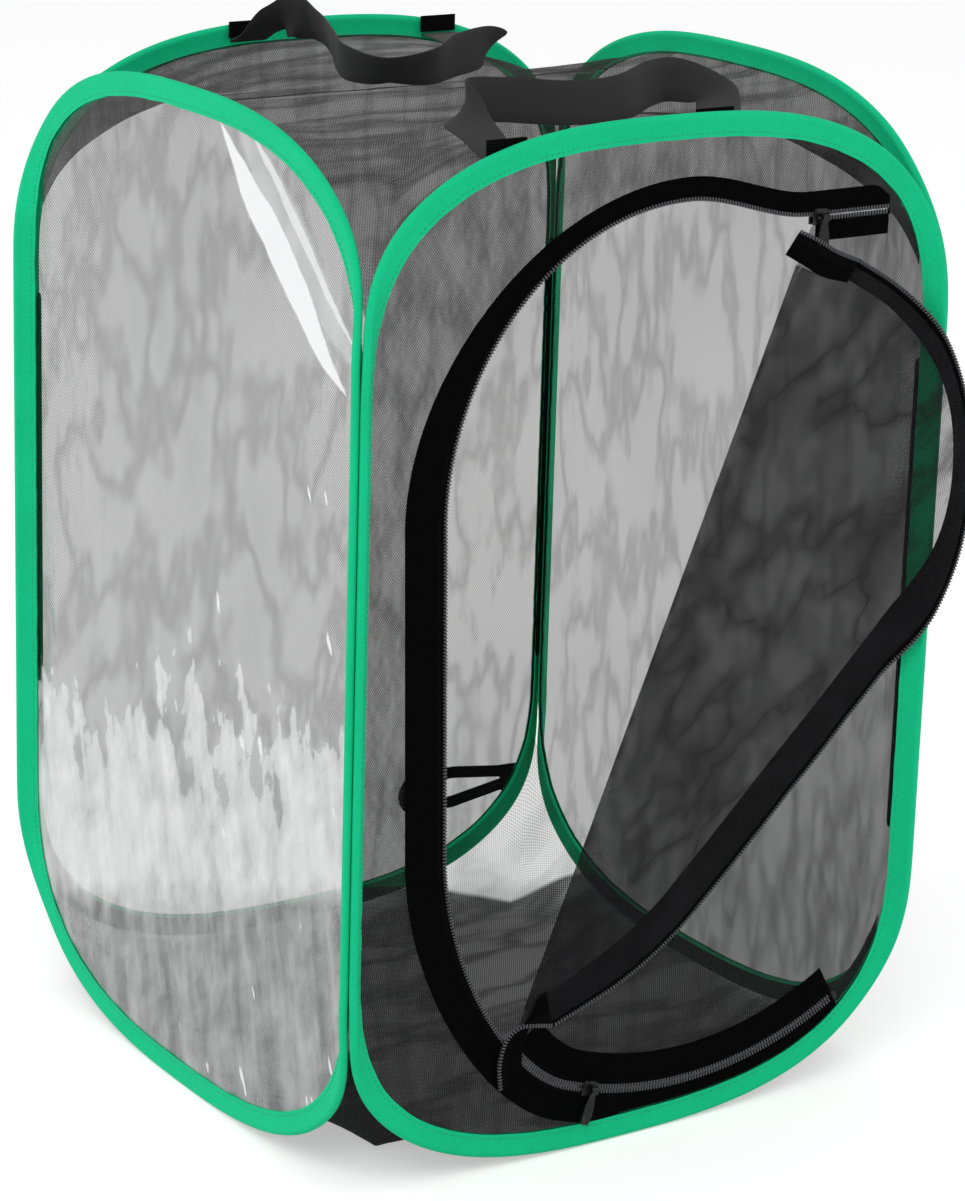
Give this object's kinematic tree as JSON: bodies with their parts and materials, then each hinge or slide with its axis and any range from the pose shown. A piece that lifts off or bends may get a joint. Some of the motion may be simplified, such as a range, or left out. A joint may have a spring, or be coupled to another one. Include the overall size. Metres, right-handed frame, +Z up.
{
  "type": "insect habitat cage",
  "caption": "Collapsible pop-up mesh cage for insects, with folded tape loops on each side, a clear film window, a D-shaped zipped door folded open and webbing carry handles",
  "frame": {"origin": "middle of the footprint, on the surface the cage stands on", "axes": "+Z up, the door side faces -Y, the clear window faces -X, the two handle sides are -Y and +Y"},
  "size_m": [0.4205, 0.4192, 0.6215],
  "materials": {
    "green_tape": "ribbed woven binding tape",
    "black_net": "fine open knitted net",
    "clear_film": "clear soft film",
    "black_tape": "woven tape",
    "zip_nylon": "moulded coil",
    "black_metal": "black paint",
    "black_webbing": "ribbed webbing",
    "spring_steel": "drawn wire"
  },
  "bodies": {
    "front_panel": {"front_binding": "green_tape", "front_wire": "spring_steel", "front_wire_ferrule": "spring_steel", "surround_net": "black_net", "door_net": "black_net", "surround_tape": "black_tape", "surround_chain": "zip_nylon", "door_tape_upper": "black_tape", "door_chain_upper": "zip_nylon", "door_tape_lower": "black_tape", "door_chain_lower": "zip_nylon", "upper_zip_stop": "black_metal", "lower_zip_stop": "black_metal", "roof_net": "black_net", "floor_net": "black_net", "front_handle_end_left": "black_webbing", "front_handle_end_right": "black_webbing", "front_left_seam": "black_tape", "front_right_seam": "black_tape"},
    "window_panel": {"left_binding": "green_tape", "left_wire": "spring_steel", "left_wire_ferrule": "spring_steel", "window_film": "clear_film", "back_left_seam": "black_tape"},
    "right_panel": {"right_binding": "green_tape", "right_wire": "spring_steel", "right_wire_ferrule": "spring_steel", "right_net": "black_net"},
    "back_panel": {"back_binding": "green_tape", "back_wire": "spring_steel", "back_wire_ferrule": "spring_steel", "back_net": "black_net", "back_right_seam": "black_tape", "back_handle_end_left": "black_webbing", "back_handle_end_right": "black_webbing", "strap_end": "black_webbing"},
    "door_flap": {"flap_net": "black_net", "flap_tape": "black_tape", "flap_chain": "zip_nylon"},
    "upper_slider_body": {"upper_slider": "black_metal"},
    "upper_pull_body": {"upper_pull": "black_metal"},
    "lower_slider_body": {"lower_slider": "black_metal"},
    "lower_pull_body": {"lower_pull": "black_metal"},
    "front_handle_body": {"front_handle": "black_webbing"},
    "back_handle_body": {"back_handle": "black_webbing"},
    "strap_body": {"retaining_strap": "black_webbing"}
  },
  "joints": [
    {"name": "left_fold", "type": "hinge", "parent": "front_panel", "child": "window_panel", "pos_m": [-0.18754, -0.18754, 0], "axis": [0, 0, -1], "range_deg": [0, 85], "stiffness_Nm_per_rad": 0.02, "deforming": ["front_binding", "left_binding", "right_binding", "back_binding", "front_wire", "left_wire", "right_wire", "back_wire", "roof_net", "floor_net"]},
    {"name": "right_fold", "type": "hinge", "parent": "front_panel", "child": "right_panel", "pos_m": [0.18754, -0.18754, 0], "axis": [0, 0, -1], "range_deg": [0, 85]},
    {"name": "back_fold", "type": "hinge", "parent": "window_panel", "child": "back_panel", "pos_m": [-0.18754, 0.18754, 0], "axis": [0, 0, -1], "range_deg": [-85, 0]},
    {"name": "door_fold", "type": "hinge", "parent": "front_panel", "child": "door_flap", "pos_m": [-0.075, -0.19348, 0.095], "axis": [0.3755, 0, 0.9268], "range_deg": [-173.4, 0]},
    {"name": "upper_slide", "type": "slide", "parent": "front_panel", "child": "upper_slider_body", "axis": [1, 0, 0], "range_m": [0, 0.04]},
    {"name": "upper_pull_swing", "type": "hinge", "parent": "upper_slider_body", "child": "upper_pull_body", "pos_m": [0.10597, -0.19628, 0.5355], "axis": [-1, 0, 0], "range_deg": [0, 150]},
    {"name": "lower_slide", "type": "hinge", "parent": "front_panel", "child": "lower_slider_body", "pos_m": [0.035, -0.19123, 0.257], "axis": [0, -1, 0], "range_deg": [0, 43]},
    {"name": "lower_pull_swing", "type": "hinge", "parent": "lower_slider_body", "child": "lower_pull_body", "pos_m": [-0.029, -0.19628, 0.03608], "axis": [-0.9605, 0, 0.2783], "range_deg": [0, 150]},
    {"name": "front_handle_swing", "type": "hinge", "parent": "front_panel", "child": "front_handle_body", "pos_m": [-0.103, -0.18499, 0.58259], "axis": [0.9988, 0, 0.0489], "range_deg": [0, 60]},
    {"name": "back_handle_swing", "type": "hinge", "parent": "back_panel", "child": "back_handle_body", "pos_m": [0.094, 0.18499, 0.58434], "axis": [-0.9994, 0, 0.0332], "range_deg": [0, 50]},
    {"name": "strap_swing", "type": "hinge", "parent": "back_panel", "child": "strap_body", "pos_m": [0.16457, 0.19421, 0.07], "axis": [0, 0, -1], "range_deg": [0, 100]}
  ],
  "couplings": [
    {"joint": "right_fold", "follows": "left_fold", "ratio": 1},
    {"joint": "back_fold", "follows": "left_fold", "ratio": -1}
  ]
}
